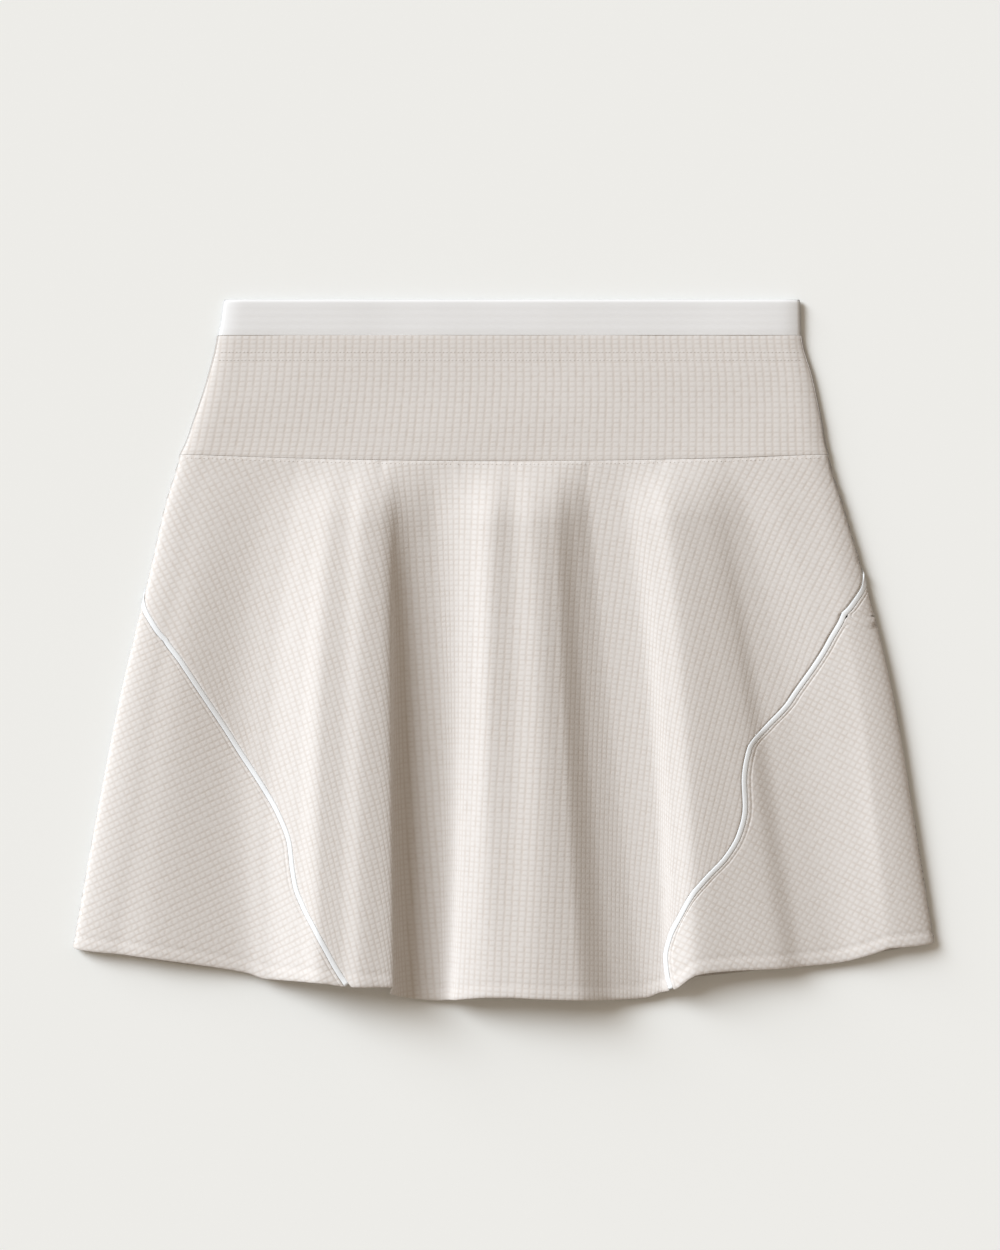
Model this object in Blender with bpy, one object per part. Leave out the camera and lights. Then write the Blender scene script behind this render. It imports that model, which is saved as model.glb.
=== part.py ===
"""A skort laid flat on its back, front up, waist towards +Y, resting at z = 0.

The band, the yoke and the circle-cut skirt are stretches of one flattened tube of cloth.
`level` runs down the tube: 0 is the top of the band, 1 its foot, 2 the skirt seam, 3 the hem.
`around` runs round it in degrees of the circle cut: 0 is the centre front, plus and minus
SIDE are the side folds on the -X and +X sides, and plus and minus BACK the centre back.
Positions and thicknesses in the tables are in millimetres.
"""

import math
from collections import namedtuple

import bmesh
import bpy
from mathutils import Vector

MM = 0.001

# Walls and seams
SKIRT_CLOTH = 1.2
BAND_CLOTH = 1.6
SHORTS_CLOTH = 1.0
SEAM_GAP = 0.3

# Heights on the page, at the centre front
WAIST_Y = 189.9
BAND_FOOT_Y = 170.4
SEAM_Y = 102.2
SEAM_LIFT = 3.8          # the seam rises this much towards the side folds
BACK_HEM_Y = -182.0

# Places round the cut, in degrees
SIDE = 41.0
BACK = 2 * SIDE
SHOULDER = 38.0          # the front's cloth starts to roll down to the side fold
HEEL = 43.0              # the roll has reached the floor
ROLL_RISE = 0.75         # share of the roll's height at which the fold's edge stops being upright
ROLL_STOPS = (38.8, 39.5, 40.1, 40.6, 41.0, 41.5, 42.0, 42.5)
BACK_STOPS = 5           # columns from a heel to the centre back
PLAIN_STOPS = 10         # columns across the front of the band and the yoke
STOP_CLEARANCE = 0.35    # no column lies closer than this to a panel's edge
FOLD_RIM = 0.1           # edges this close to a side fold face straight across it

# Piping
PIPING_WIDTH = 3.0
PIPING_CROWN = 0.8       # how far it stands proud on the front
PIPING_EDGE = 0.35       # how far below the cloth's face its round part ends
PIPING_GAP = 0.40        # between facets of curved walls, which leaves about a seam's gap
FOLD_CLEARANCE = 0.5     # more room between the cloth and the piping at the side fold
FOLD_REACH = 5.0         # degrees from the side fold over which that room closes
PIPING_START = 2.007
PIPING_END = 2.997

# Flattened tube: its two folded edges, the height of its front, and the rolls between them
Section = namedtuple("Section", "name level left right top edge shoulder heel")
SECTIONS = (
    Section("band top", 0.00, -152.3, 161.5, 4.4, 2.2, 11.3, 7.5),
    Section("band foot", 1.00, -155.5, 162.0, 4.4, 2.2, 11.6, 7.7),
    Section("upper yoke", 1.35, -160.7, 167.7, 4.7, 2.4, 12.0, 8.0),
    Section("lower yoke", 1.70, -168.1, 172.5, 5.2, 2.6, 12.5, 8.3),
    Section("skirt seam", 2.00, -175.9, 176.6, 5.6, 2.8, 13.0, 8.6),
    Section("high hip", 2.10, -183.5, 184.0, 6.2, 3.0, 14.0, 9.0),
    Section("piping top", 2.25, -192.6, 195.6, 7.2, 3.2, 16.0, 9.5),
    Section("middle", 2.50, -208.4, 211.7, 8.3, 3.4, 19.0, 10.5),
    Section("low", 2.75, -221.5, 222.8, 8.7, 3.4, 22.0, 11.5),
    Section("hem", 3.00, -233.7, 233.7, 7.8, 3.0, 25.0, 12.0),
)

# Lines of the skirt's folds, from the left fold to the right one. `around` sets where a line
# starts at the seam; x and z are its place half way down and at the hem, z_top just below
# the seam, and y_hem the hem's own line.
Fold = namedtuple("Fold", "name around x_mid x_hem y_hem z_top z_mid z_hem")
FOLDS = (
    Fold("left flat", 36.0, -177.7, -191.2, -166.6, 6.6, 9.0, 9.4),
    Fold("left hollow", 30.0, -143.5, -139.5, -174.7, 5.8, 6.0, 5.8),
    Fold("ridge 1 foot", 26.5, -127.4, -127.5, -178.0, 7.0, 8.0, 7.8),
    Fold("ridge 1 flank", 23.6, -110.0, -109.5, -178.4, 10.4, 14.4, 15.8),
    Fold("ridge 1 shoulder", 21.1, -97.0, -96.5, -178.8, 13.2, 19.6, 21.4),
    Fold("ridge 1 dip", 19.5, -87.0, -87.0, -180.2, 13.4, 19.7, 21.5),
    Fold("ridge 1 top", 17.8, -76.6, -77.0, -180.7, 15.0, 21.2, 23.0),
    Fold("ridge 1 lip", 15.5, -66.3, -66.5, -180.7, 14.0, 20.4, 22.0),
    Fold("ridge 1 edge", 14.4, -60.2, -58.8, -181.2, 12.4, 18.4, 20.2),
    Fold("ridge 1 under", 13.0, -59.4, -60.0, -185.0, 10.0, 12.4, 13.6),
    Fold("recess left", 11.0, -51.5, -51.0, -188.3, 7.6, 7.2, 6.6),
    Fold("recess right", 8.8, -34.0, -35.0, -189.9, 5.9, 5.6, 4.8),
    Fold("ridge 2 foot", 7.0, -27.0, -30.6, -189.4, 6.8, 6.4, 6.0),
    Fold("ridge 2 edge", 5.0, -19.0, -26.0, -188.8, 9.0, 9.8, 11.2),
    Fold("ridge 2 top", 1.0, -6.1, -6.6, -186.9, 13.2, 14.4, 16.8),
    Fold("centre dip", -1.2, 4.9, 4.5, -186.9, 12.4, 14.3, 17.7),
    Fold("centre rise", -3.0, 18.6, 15.4, -187.5, 13.4, 15.8, 18.2),
    Fold("centre shoulder", -6.0, 31.5, 39.0, -188.5, 12.2, 14.2, 16.4),
    Fold("groove 2 flank", -8.6, 46.2, 60.6, -189.1, 8.2, 7.8, 7.8),
    Fold("groove 2 floor", -10.5, 60.0, 76.0, -188.5, 5.6, 5.4, 4.9),
    Fold("ridge 3 foot", -14.0, 78.0, 84.6, -185.6, 6.2, 6.4, 5.8),
    Fold("ridge 3 flank", -17.4, 89.0, 92.8, -182.9, 9.6, 10.8, 10.4),
    Fold("ridge 3 top", -20.0, 99.1, 104.5, -175.0, 12.2, 13.6, 14.6),
    Fold("ridge 3 shoulder", -24.0, 119.2, 128.0, -172.8, 10.2, 11.6, 12.4),
    Fold("ridge 3 brow", -25.6, 129.5, 148.5, -172.2, 8.8, 9.8, 10.2),
    Fold("groove 3 flank", -27.4, 141.0, 163.0, -171.2, 6.8, 6.4, 6.2),
    Fold("groove 3 floor", -29.0, 156.5, 178.6, -169.9, 5.6, 5.4, 4.8),
    Fold("right rise", -33.0, 179.0, 195.0, -166.1, 6.4, 6.8, 6.4),
)
FOLD_TOP = 2.12          # the level of z_top
FOLD_MID = 2.5
LEFT_HEM_Y = -161.2
RIGHT_HEM_Y = -158.5

# The seam between the front and back panels: from the back of the yoke, round the side
# folds and down the front to the hem
SeamPoint = namedtuple("SeamPoint", "place level left right")
PANEL_SEAM = (
    SeamPoint("back of the yoke", 2.00, 56.0, -56.0),
    SeamPoint("back hip", 2.12, 49.0, -49.0),
    SeamPoint("below the side fold", 2.20, 44.8, -43.4),
    SeamPoint("side fold", 2.25, 42.5, -41.0),
    SeamPoint("round the side fold", 2.29, 41.0, -39.2),
    SeamPoint("front hip", 2.33, 39.3, -37.7),
    SeamPoint("high on the front", 2.37, 38.0, -34.5),
    SeamPoint("high front", 2.41, 36.0, -32.0),
    SeamPoint("above the middle", 2.46, 33.9, -29.7),
    SeamPoint("middle front", 2.53, 31.2, -27.4),
    SeamPoint("bend", 2.57, 29.7, -25.7),
    SeamPoint("below the bend", 2.635, 26.6, -25.0),
    SeamPoint("straight", 2.68, 25.3, -24.9),
    SeamPoint("low front", 2.74, 24.3, -24.3),
    SeamPoint("low bend", 2.78, 24.1, -23.2),
    SeamPoint("turn", 2.82, 23.8, -21.0),
    SeamPoint("above the hem", 2.86, 23.0, -18.5),
    SeamPoint("near the hem", 2.90, 21.8, -16.3),
    SeamPoint("nearer the hem", 2.935, 20.8, -15.3),
    SeamPoint("hem's turn", 2.965, 20.0, -15.6),
    SeamPoint("hem", 3.00, 18.9, -16.6),
)

# Rows of each stretch of cloth
BAND_ROWS = (0.0, 0.5, 1.0)
YOKE_ROWS = (1.0, 1.2, 1.4, 1.6, 1.8, 2.0)
SKIRT_ROWS = (2.0, 2.04, 2.08, 2.12, 2.16, 2.19, 2.205, 2.22, 2.23, 2.24, 2.25, 2.26, 2.27,
              2.28, 2.29, 2.30, 2.315, 2.33, 2.35, 2.37, 2.39, 2.42, 2.46, 2.49, 2.52, 2.55,
              2.58, 2.61, 2.65, 2.69, 2.73, 2.76, 2.78, 2.80, 2.815, 2.83, 2.845, 2.86, 2.875,
              2.89, 2.91, 2.935, 2.965, 3.0)

# Inner shorts, two layers that lie between the panels
SHORTS_TOP_Y = 100.0
SHORTS_HIP_Y = 20.0
SHORTS_LEG_Y = -104.0
CROTCH_Y = -50.0
CROTCH_RISE = 7.0
SHORTS_WAIST_HALF = 158.0
SHORTS_HIP_HALF = 164.0
SHORTS_LEG_HALF = 150.0
INSEAM_HALF = 15.0       # half the space between the legs, at their hems
CROTCH_HALF = 9.0
CROTCH_STEPS = 6
SHORTS_FLOOR = SKIRT_CLOTH + SEAM_GAP

LEVEL_STEP = 0.004       # steps used to read the surface's directions
ANGLE_STEP = 0.05
SHARP_ANGLE = math.radians(50)

# Principled BSDF values: base colour and roughness
FINISHES = {
    "waffle knit": ((0.74, 0.69, 0.63), 0.85),
    "smooth elastic": ((0.80, 0.79, 0.78), 0.60),
    "piping": ((0.86, 0.85, 0.83), 0.50),
    "shorts jersey": ((0.78, 0.74, 0.69), 0.80),
}


def clear_scene():
    for old in list(bpy.data.objects):
        bpy.data.objects.remove(old, do_unlink=True)


def make_material(name):
    colour, roughness = FINISHES[name]
    material = bpy.data.materials.new(name)
    material.use_nodes = True
    shader = material.node_tree.nodes["Principled BSDF"]
    shader.inputs["Base Color"].default_value = (*colour, 1.0)
    shader.inputs["Roughness"].default_value = roughness
    shader.inputs["Metallic"].default_value = 0.0
    material.diffuse_color = (*colour, 1.0)
    return material


def mix(first, last, share):
    return first + (last - first) * share


def flow(stations, values, at):
    """A smooth curve through the values that never swings past them."""
    rising = stations[-1] > stations[0]
    if not rising:
        stations = stations[::-1]
        values = values[::-1]
    at = min(max(at, stations[0]), stations[-1])
    last = len(stations) - 2
    slot = next((i for i in range(last) if at < stations[i + 1]), last)
    steps = [b - a for a, b in zip(stations, stations[1:])]
    rises = [(b - a) / step for a, b, step in zip(values, values[1:], steps)]

    def slope(i):
        if i == 0 or i > last:
            return rises[min(i, last)]
        before, after = rises[i - 1], rises[i]
        if before * after <= 0:
            return 0.0
        weigh_before = 2 * steps[i] + steps[i - 1]
        weigh_after = steps[i] + 2 * steps[i - 1]
        return (weigh_before + weigh_after) / (weigh_before / before + weigh_after / after)

    step = steps[slot]
    t = (at - stations[slot]) / step
    start = (1 + 2 * t) * (1 - t) ** 2 * values[slot] + t * (1 - t) ** 2 * step * slope(slot)
    end = t * t * (3 - 2 * t) * values[slot + 1] - t * t * (1 - t) * step * slope(slot + 1)
    return start + end


def section(level):
    levels = [row.level for row in SECTIONS]
    sizes = (flow(levels, [row[i] for row in SECTIONS], level) for i in range(2, 8))
    return Section("between", level, *sizes)


def seam_y(around):
    angle = min(abs(around), BACK - abs(around))
    return SEAM_Y + SEAM_LIFT * (angle / SIDE) ** 2


def hem_y(around):
    if abs(around) > SIDE:
        share = (BACK - abs(around)) / SIDE
        corner = LEFT_HEM_Y if around > 0 else RIGHT_HEM_Y
        return mix(BACK_HEM_Y, corner, share ** 2)
    angles = [SIDE] + [fold.around for fold in FOLDS] + [-SIDE]
    heights = [LEFT_HEM_Y] + [fold.y_hem for fold in FOLDS] + [RIGHT_HEM_Y]
    return flow(angles, heights, around)


def page_y(level, around):
    if level <= 1:
        return mix(WAIST_Y, BAND_FOOT_Y, level)
    if level <= 2:
        return mix(BAND_FOOT_Y, seam_y(around), level - 1)
    return mix(seam_y(around), hem_y(around), level - 2)


def bezier(points, t):
    weights = ((1 - t) ** 3, 3 * t * (1 - t) ** 2, 3 * t * t * (1 - t), t ** 3)
    return tuple(sum(w * p[i] for w, p in zip(weights, points)) for i in range(2))


def upper_roll(size, share):
    """From the fold's edge (share 0) up and in to the flat of the front (share 1)."""
    rise = size.top - size.edge
    points = ((0, size.edge), (0, size.edge + ROLL_RISE * rise),
              (0.42 * size.shoulder, size.top), (size.shoulder, size.top))
    return bezier(points, share)


def lower_roll(size, share):
    """From the fold's edge (share 0) down and in to the floor (share 1)."""
    points = ((0, size.edge), (0, 0.25 * size.edge), (0.4 * size.heel, 0), (size.heel, 0))
    return bezier(points, share)


def fold_row(level):
    """Where the fold lines cross one level of the skirt: their angles, x and z."""
    size = section(level)
    seam = section(2.0)
    left = seam.left + seam.shoulder
    right = seam.right - seam.shoulder
    angles = [SHOULDER]
    xs = [size.left + size.shoulder]
    zs = [size.top]
    share = level - 2
    for fold in FOLDS:
        x_seam = mix(left, right, (SHOULDER - fold.around) / (2 * SHOULDER))
        start = x_seam * (2 * share - 1) * (share - 1)
        middle = fold.x_mid * 4 * share * (1 - share)
        end = fold.x_hem * share * (2 * share - 1)
        angles.append(fold.around)
        xs.append(start + middle + end)
        heights = (seam.top, fold.z_top, fold.z_mid, fold.z_hem)
        zs.append(flow((2.0, FOLD_TOP, FOLD_MID, 3.0), heights, level))
    angles.append(-SHOULDER)
    xs.append(size.right - size.shoulder)
    zs.append(size.top)
    return angles, xs, zs


def front_point(level, around, size):
    if level > 2:
        angles, xs, zs = fold_row(level)
        return flow(angles, xs, around), flow(angles, zs, around)
    share = (SHOULDER - around) / (2 * SHOULDER)
    return mix(size.left + size.shoulder, size.right - size.shoulder, share), size.top


def surface(level, around):
    """The outer face of the flattened tube of cloth."""
    if around > BACK:
        around -= 2 * BACK
    size = section(level)
    angle = abs(around)
    edge, inward = (size.left, 1) if around >= 0 else (size.right, -1)
    if angle <= SHOULDER:
        x, z = front_point(level, around, size)
    elif angle <= SIDE:
        reach, z = upper_roll(size, (SIDE - angle) / (SIDE - SHOULDER))
        x = edge + inward * reach
    elif angle <= HEEL:
        reach, z = lower_roll(size, (angle - SIDE) / (HEEL - SIDE))
        x = edge + inward * reach
    else:
        centre = (size.left + size.right) / 2
        x = mix(edge + inward * size.heel, centre, (angle - HEEL) / (BACK - HEEL))
        z = 0.0
    return Vector((x, page_y(level, around), z)) * MM


def seam_angle(level, side):
    levels = [point.level for point in PANEL_SEAM]
    return flow(levels, [getattr(point, side) for point in PANEL_SEAM], level)


def seam_point(level, side):
    return surface(level, seam_angle(level, side))


def seam_direction(level, side):
    low, high = max(2.0, level - LEVEL_STEP), min(3.0, level + LEVEL_STEP)
    return (seam_point(high, side) - seam_point(low, side)).normalized()


def across(level, around):
    """How far the outer face runs for a degree of the cut."""
    return (surface(level, around + ANGLE_STEP) - surface(level, around - ANGLE_STEP)) / (2 * ANGLE_STEP)


def outward(level, around):
    """The outer face's normal within its ring, so that walls meet squarely at a seam."""
    for fold in (SIDE, -SIDE, 2 * BACK - SIDE):
        if abs(around - fold) < FOLD_RIM:
            around = fold
    run = across(level, around)
    return Vector((run.z, 0.0, -run.x)).normalized()


def beside_seam(level, side, turn):
    """The angle of a panel's edge, clear of the piping, on the side that turn gives."""
    angle = seam_angle(level, side)
    along = seam_direction(level, side)
    # the walls lean together where the seam turns round the side fold
    on_fold = max(0.0, 1 - abs(abs(angle) - SIDE) / FOLD_REACH)
    clear = (PIPING_WIDTH / 2 + PIPING_GAP + FOLD_CLEARANCE * on_fold) * MM
    shift = 0.5 * turn
    for _ in range(4):
        reach = surface(level, angle + shift) - surface(level, angle)
        shift *= clear / reach.cross(along).length
    return angle + shift


def beside_fold(level, around, turn):
    return around + turn * SEAM_GAP / 2 * MM / across(level, around).length


def trimmed(rows, length):
    """The rows with half a seam's gap taken off where the stretch meets the next one."""
    half_gap = SEAM_GAP / 2 / length
    ends = list(rows)
    if rows[0] > 0:
        ends[0] += half_gap
    if rows[-1] < 3:
        ends[-1] -= half_gap
    return ends


def lap(front):
    """Angles of the mesh's columns once round: those given across the front, with the rolls
    and the back added."""
    back = [mix(HEEL, BACK, i / BACK_STOPS) for i in range(1, BACK_STOPS + 1)]
    beyond = list(ROLL_STOPS) + [HEEL] + back
    return [-angle for angle in beyond[-2::-1]] + sorted(front) + beyond


def plain_columns():
    return lap([mix(-SHOULDER, SHOULDER, i / PLAIN_STOPS) for i in range(PLAIN_STOPS + 1)])


def folded_columns():
    """A column on every fold line and one between each two."""
    lines = [SHOULDER] + [fold.around for fold in FOLDS] + [-SHOULDER]
    between = [(before + after) / 2 for before, after in zip(lines, lines[1:])]
    return lap(lines + between)


def row_stops(columns, first, last):
    """The columns between a row's two edges, from the higher angle to the lower one."""
    twice_round = columns + [angle + 2 * BACK for angle in columns]
    inside = [angle for angle in twice_round
              if last + STOP_CLEARANCE < angle < first - STOP_CLEARANCE]
    return [first] + inside[::-1] + [last]


def bridge(mesh, upper, lower, inside_out):
    """Faces between two rows of (angle, vertex): quads where both rows have the column, and
    triangles where only one of them reaches it."""
    i = j = 0
    while i < len(upper) - 1 or j < len(lower) - 1:
        upper_left = len(upper) - 1 - i
        lower_left = len(lower) - 1 - j
        both = upper_left and lower_left and (upper_left == lower_left == 1
                                              or upper[i + 1][0] == lower[j + 1][0])
        step_upper = both or (upper_left
                              and (not lower_left or upper[i + 1][0] > lower[j + 1][0]))
        step_lower = both or not step_upper
        corners = [upper[i][1], lower[j][1]]
        if step_lower:
            j += 1
            corners.append(lower[j][1])
        if step_upper:
            i += 1
            corners.append(upper[i][1])
        mesh.faces.new(corners[::-1] if inside_out else corners)


def rim(mesh, outer, inner):
    """Closes the wall along one of its edges."""
    for a, b, c, d in zip(outer, outer[1:], inner[1:], inner):
        mesh.faces.new((a, b, c, d))


def sheet_of_cloth(name, levels, columns, edges, thickness, material):
    """A wall of cloth inside the tube's surface; edges gives each row's first and last angle.
    A row that runs once round meets itself."""
    mesh = bmesh.new()
    faces = {"outer": [], "inner": []}
    for level in levels:
        first, last = edges(level)
        stops = row_stops(columns, first, last)
        closed = first - last == 2 * BACK
        for face, depth in (("outer", 0.0), ("inner", thickness * MM)):
            row = [(stop, mesh.verts.new(surface(level, stop) - outward(level, stop) * depth))
                   for stop in (stops[:-1] if closed else stops)]
            if closed:
                row.append((last, row[0][1]))
            faces[face].append(row)
    for face, rows in faces.items():
        for upper, lower in zip(rows, rows[1:]):
            bridge(mesh, upper, lower, face == "inner")
    outer, inner = ([[vertex for _, vertex in row] for row in faces[face]] for face in faces)
    rim(mesh, outer[0], inner[0])
    rim(mesh, outer[-1][::-1], inner[-1][::-1])
    if not closed:
        rim(mesh, [row[0] for row in outer][::-1], [row[0] for row in inner][::-1])
        rim(mesh, [row[-1] for row in outer], [row[-1] for row in inner])
    return add_object(name, mesh, material)


def add_object(name, mesh, material):
    bmesh.ops.recalc_face_normals(mesh, faces=mesh.faces[:])
    data = bpy.data.meshes.new(name)
    mesh.to_mesh(data)
    mesh.free()
    data.materials.append(material)
    data.shade_smooth()
    data.set_sharp_from_angle(angle=SHARP_ANGLE)
    piece = bpy.data.objects.new(name, data)
    bpy.context.scene.collection.objects.link(piece)
    return piece


def make_waistband(material):
    levels = trimmed(BAND_ROWS, WAIST_Y - BAND_FOOT_Y)
    sheet_of_cloth("waistband", levels, plain_columns(), lambda level: (BACK, -BACK),
                   BAND_CLOTH, material)


def make_yoke(material):
    levels = trimmed(YOKE_ROWS, BAND_FOOT_Y - SEAM_Y)
    columns = plain_columns()

    def front_edges(level):
        return beside_fold(level, SIDE, -1), beside_fold(level, -SIDE, 1)

    def back_edges(level):
        return 2 * BACK + beside_fold(level, -SIDE, -1), beside_fold(level, SIDE, 1)

    sheet_of_cloth("yoke_front", levels, columns, front_edges, SKIRT_CLOTH, material)
    sheet_of_cloth("yoke_back", levels, columns, back_edges, SKIRT_CLOTH, material)


def make_skirt(material):
    levels = trimmed(SKIRT_ROWS, SEAM_Y - BACK_HEM_Y)
    columns = folded_columns()

    def front_edges(level):
        return beside_seam(level, "left", -1), beside_seam(level, "right", 1)

    def back_edges(level):
        return 2 * BACK + beside_seam(level, "right", -1), beside_seam(level, "left", 1)

    sheet_of_cloth("front_panel", levels, columns, front_edges, SKIRT_CLOTH, material)
    sheet_of_cloth("back_panel", levels, columns, back_edges, SKIRT_CLOTH, material)


def piping_profile(crown):
    """Half-round cord with its seam allowance: across and out from the cloth's face."""
    half = PIPING_WIDTH / 2
    flat = 0.4 * half
    corner = 0.9 * half
    shoulder = 0.45 * crown
    return ((-half, -PIPING_EDGE), (-corner, shoulder), (-flat, crown),
            (flat, crown), (corner, shoulder), (half, -PIPING_EDGE),
            (flat, -SKIRT_CLOTH), (-flat, -SKIRT_CLOTH))


def make_piping(name, side, material):
    mesh = bmesh.new()
    rings = []
    for level in (PIPING_START,) + SKIRT_ROWS[1:-1] + (PIPING_END,):
        angle = seam_angle(level, side)
        along = seam_direction(level, side)
        up = outward(level, angle)
        up = (up - along * up.dot(along)).normalized()
        sideways = up.cross(along)
        # the weight of the cloth presses it flush where it lies underneath
        on_front = min(max((HEEL - abs(angle)) / (HEEL - SHOULDER), 0.0), 1.0)
        centre = surface(level, angle)
        rings.append([mesh.verts.new(centre + (sideways * x + up * z) * MM)
                      for x, z in piping_profile(PIPING_CROWN * on_front)])
    for before, after in zip(rings, rings[1:]):
        for i, vertex in enumerate(before):
            mesh.faces.new((vertex, before[i - 1], after[i - 1], after[i]))
    mesh.faces.new(rings[0])
    mesh.faces.new(rings[-1][::-1])
    return add_object(name, mesh, material)


def shorts_outline():
    """The outline of both legs laid flat, from the top left corner round by the legs."""
    left = [(-SHORTS_WAIST_HALF, SHORTS_TOP_Y), (-SHORTS_HIP_HALF, SHORTS_HIP_Y),
            (-SHORTS_LEG_HALF, SHORTS_LEG_Y), (-INSEAM_HALF, SHORTS_LEG_Y)]
    crotch = []
    for step in range(CROTCH_STEPS + 1):
        turn = math.pi * step / CROTCH_STEPS
        crotch.append((-CROTCH_HALF * math.cos(turn), CROTCH_Y + CROTCH_RISE * math.sin(turn)))
    right = [(-x, y) for x, y in reversed(left)]
    return left + crotch + right


def make_shorts(name, floor, material):
    mesh = bmesh.new()
    outline = [mesh.verts.new(Vector((x, y, floor)) * MM) for x, y in shorts_outline()]
    bottom = mesh.faces.new(outline)
    lifted = bmesh.ops.extrude_face_region(mesh, geom=[bottom])["geom"]
    top = [item for item in lifted if isinstance(item, bmesh.types.BMVert)]
    bmesh.ops.translate(mesh, verts=top, vec=Vector((0, 0, SHORTS_CLOTH)) * MM)
    return add_object(name, mesh, material)


def main():
    clear_scene()
    waffle = make_material("waffle knit")
    piping = make_material("piping")
    jersey = make_material("shorts jersey")
    make_waistband(make_material("smooth elastic"))
    make_yoke(waffle)
    make_skirt(waffle)
    make_piping("piping_left", "left", piping)
    make_piping("piping_right", "right", piping)
    make_shorts("shorts_back", SHORTS_FLOOR, jersey)
    make_shorts("shorts_front", SHORTS_FLOOR + SHORTS_CLOTH + SEAM_GAP, jersey)


main()
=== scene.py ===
# Skort laid flat on its back, front up, waist towards +Y: smooth band, waffle knit yoke,
# circle-cut skirt with soft folds, curved piping and inner shorts.
# Lengths are in millimetres until a mesh is placed, and angles round the cut are in degrees.
import math

import bmesh
import bpy
import numpy as np
from mathutils import Matrix, Vector


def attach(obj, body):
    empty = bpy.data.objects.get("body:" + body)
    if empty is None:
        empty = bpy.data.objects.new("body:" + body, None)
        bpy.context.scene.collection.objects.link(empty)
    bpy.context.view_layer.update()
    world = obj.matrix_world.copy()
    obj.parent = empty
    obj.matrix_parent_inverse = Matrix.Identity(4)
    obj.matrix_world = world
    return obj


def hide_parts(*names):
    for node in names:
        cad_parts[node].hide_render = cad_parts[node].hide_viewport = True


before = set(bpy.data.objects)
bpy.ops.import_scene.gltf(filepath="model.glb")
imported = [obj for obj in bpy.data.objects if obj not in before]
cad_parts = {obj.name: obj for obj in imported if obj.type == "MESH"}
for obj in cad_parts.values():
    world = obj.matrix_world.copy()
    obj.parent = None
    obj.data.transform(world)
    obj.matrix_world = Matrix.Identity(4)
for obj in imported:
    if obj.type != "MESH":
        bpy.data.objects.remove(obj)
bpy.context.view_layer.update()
print("frame loaded,", len(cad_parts), "solids")

mm = 0.001

# The garment is one flattened tube. level runs down it: 0 is the band's top, 1 its foot,
# 2 the skirt seam, 3 the hem. around runs round it: 0 is the centre front, plus and minus
# side are the folds on the -X and +X sides, and twice that is the centre back.
tube = {
    "waistY": 189.9,
    "bandFootY": 170.4,
    "seamY": 102.2,
    "seamLift": 3.8,
    "backHemY": -182.0,
    "leftHemY": -161.2,
    "rightHemY": -158.5,
    "side": 41.0,
    "shoulder": 38.0,        # the front starts to roll down to the side fold
    "heel": 43.0,            # the roll has reached the floor
    "foldTop": 2.12,
    "foldMid": 2.5,
    "seamGap": 0.06,
    "bandGap": 0.02,
    "cloth": 1.0,            # the walls' thickness
    "bandCloth": 1.4,
}
centreBack = 2 * tube["side"]

# how the cloth rolls over at the side folds, as shares of the section's sizes
roll = {
    "upperRise": 0.45,
    "upperReach": 0.42,
    "lowerRise": 0.25,
    "lowerReach": 0.4,
}

# level, left, right, top, edge, shoulder, heel
sections = [
    (0.00, -152.3, 161.5, 4.4, 2.2, 11.3, 7.5),
    (1.00, -155.5, 162.0, 4.4, 2.2, 11.6, 7.7),
    (1.35, -160.7, 167.7, 4.7, 2.4, 12.0, 8.0),
    (1.70, -168.1, 172.5, 5.2, 2.6, 12.5, 8.3),
    (2.00, -175.9, 176.6, 5.6, 2.8, 13.0, 8.6),
    (2.10, -183.5, 184.0, 6.2, 3.0, 14.0, 9.0),
    (2.25, -192.6, 195.6, 7.2, 3.2, 16.0, 9.5),
    (2.50, -208.4, 211.7, 8.3, 3.4, 19.0, 10.5),
    (2.75, -221.5, 222.8, 8.7, 3.4, 22.0, 11.5),
    (3.00, -233.7, 233.7, 7.8, 3.0, 25.0, 12.0),
]

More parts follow.
